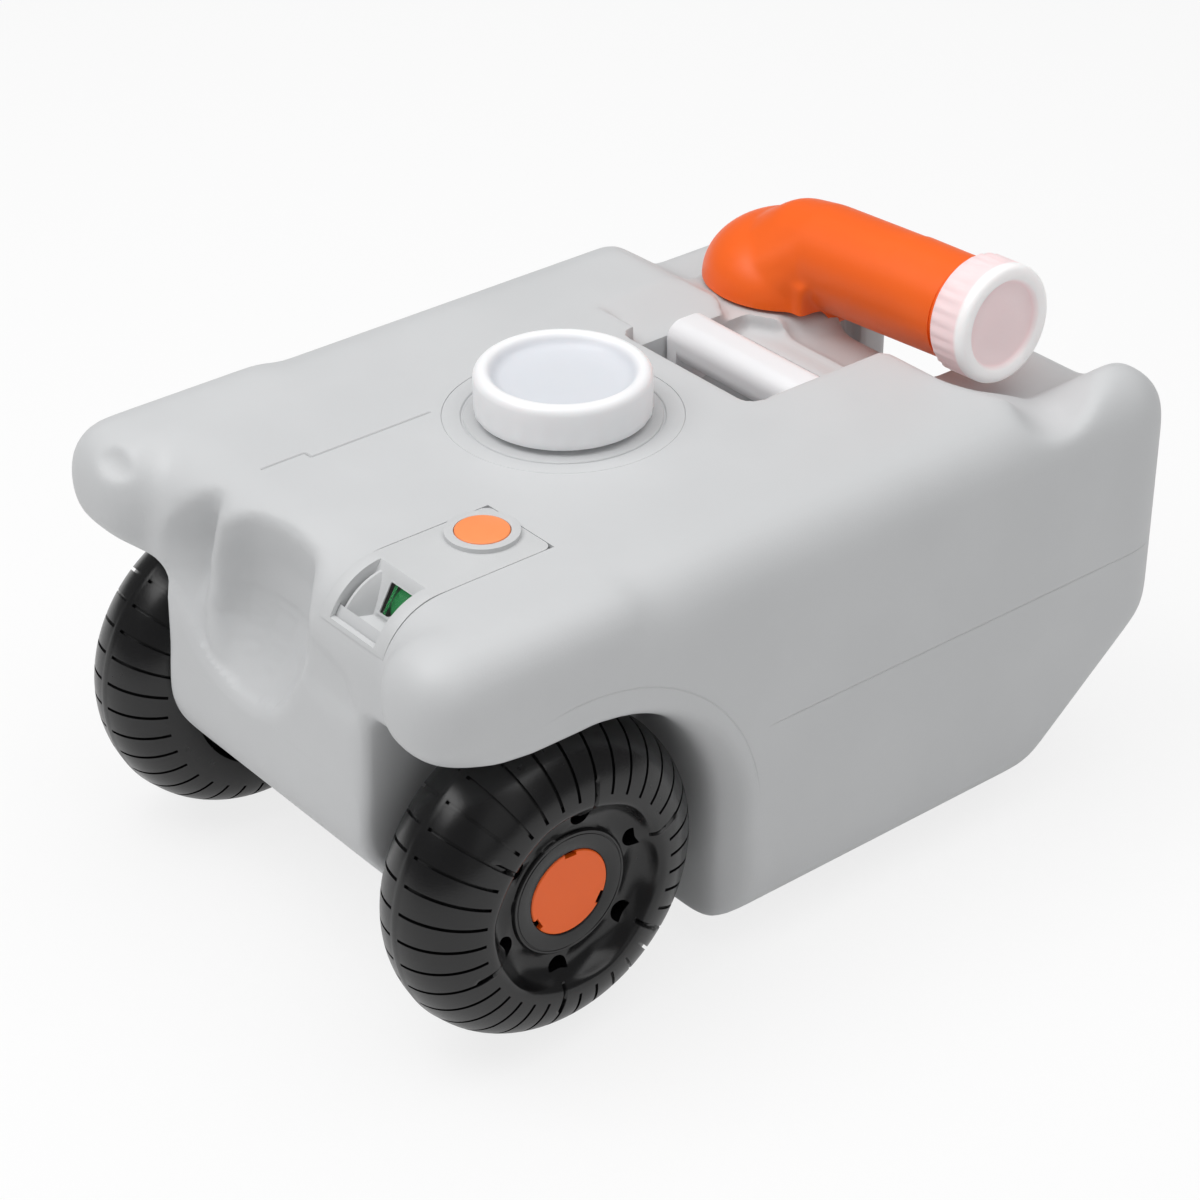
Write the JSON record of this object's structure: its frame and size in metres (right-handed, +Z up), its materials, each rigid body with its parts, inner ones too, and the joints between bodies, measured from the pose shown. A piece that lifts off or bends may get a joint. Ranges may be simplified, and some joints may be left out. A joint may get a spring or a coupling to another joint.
{
  "type": "wheeled waste water tank",
  "caption": "Wheeled grey plastic water tank with a swivelling orange spout, screw filler cap, vent button, float gauge and carrying bar",
  "frame": {"origin": "on the ground under the middle of the whole part's length and width", "axes": "+X to the right seen from the wheel end looking along +Y, +Y from the wheels to the spout, +Z up"},
  "size_m": [0.3, 0.46, 0.2688],
  "materials": {
    "tank_plastic": "blow-moulded polyethylene, soft sheen",
    "strip_plastic": "injection-moulded, satin",
    "tyre_black": "hard black plastic tread, satin",
    "orange_plastic": "satin moulded orange",
    "white_plastic": "translucent white, soft gloss",
    "inner_plastic": "natural moulded plastic",
    "seal_rubber": "soft black rubber",
    "zinc_steel": "zinc-plated steel",
    "clear_pane": "clear pane",
    "flag_green": "green moulded drum"
  },
  "bodies": {
    "tank": {"tank_body": "tank_plastic", "tank_deck": "tank_plastic", "tank_pocket": "tank_plastic", "tank_rear": "tank_plastic", "filler_neck": "tank_plastic", "axle": "zinc_steel", "thrust_washers": "inner_plastic", "axle_clips": "zinc_steel", "spout_retaining_ring": "inner_plastic", "spout_seal": "seal_rubber", "control_strip": "strip_plastic", "gauge_window": "clear_pane", "gauge_pin": "zinc_steel", "carry_handle": "white_plastic", "handle_end_caps": "inner_plastic", "vent_spring": "zinc_steel"},
    "left_wheel_body": {"left_wheel": "tyre_black", "left_wheel_bush": "inner_plastic", "left_hub_cap": "orange_plastic"},
    "right_wheel_body": {"right_wheel": "tyre_black", "right_wheel_bush": "inner_plastic", "right_hub_cap": "orange_plastic"},
    "filler_lid": {"filler_cap": "white_plastic", "filler_cap_seal": "seal_rubber"},
    "spout": {"spout_elbow": "orange_plastic", "spout_tube": "orange_plastic"},
    "spout_lid": {"spout_cap": "white_plastic", "spout_cap_seal": "seal_rubber"},
    "vent": {"vent_button": "orange_plastic", "vent_valve": "inner_plastic", "vent_valve_seal": "seal_rubber"},
    "gauge": {"gauge_flag": "flag_green", "float_arm": "inner_plastic", "gauge_float": "inner_plastic"}
  },
  "joints": [
    {"name": "left_wheel_spin", "type": "hinge", "parent": "tank", "child": "left_wheel_body", "pos_m": [-0.1173, -0.15, 0.08], "axis": [1, 0, 0], "continuous": true},
    {"name": "right_wheel_spin", "type": "hinge", "parent": "tank", "child": "right_wheel_body", "pos_m": [0.1173, -0.15, 0.08], "axis": [1, 0, 0], "continuous": true},
    {"name": "spout_swivel", "type": "hinge", "parent": "tank", "child": "spout", "pos_m": [-0.066, 0.162, 0.2085], "axis": [0, 0, 1], "range_deg": [0, 90]},
    {"name": "spout_cap_pull", "type": "slide", "parent": "spout", "child": "spout_lid", "axis": [0.9987, 0, 0.0506], "range_m": [0, 0.03]},
    {"name": "filler_cap_lift", "type": "slide", "parent": "tank", "child": "filler_lid", "axis": [0, 0, 1], "range_m": [0, 0.06]},
    {"name": "vent_press", "type": "slide", "parent": "tank", "child": "vent", "axis": [0, 0, -1], "range_m": [0, 0.004], "stiffness_N_per_m": 400, "springref_m": -0.003, "deforming": ["vent_spring"]},
    {"name": "float_swing", "type": "hinge", "parent": "tank", "child": "gauge", "pos_m": [0.068, -0.1775, 0.205], "axis": [1, 0, 0], "range_deg": [0, 30]}
  ]
}
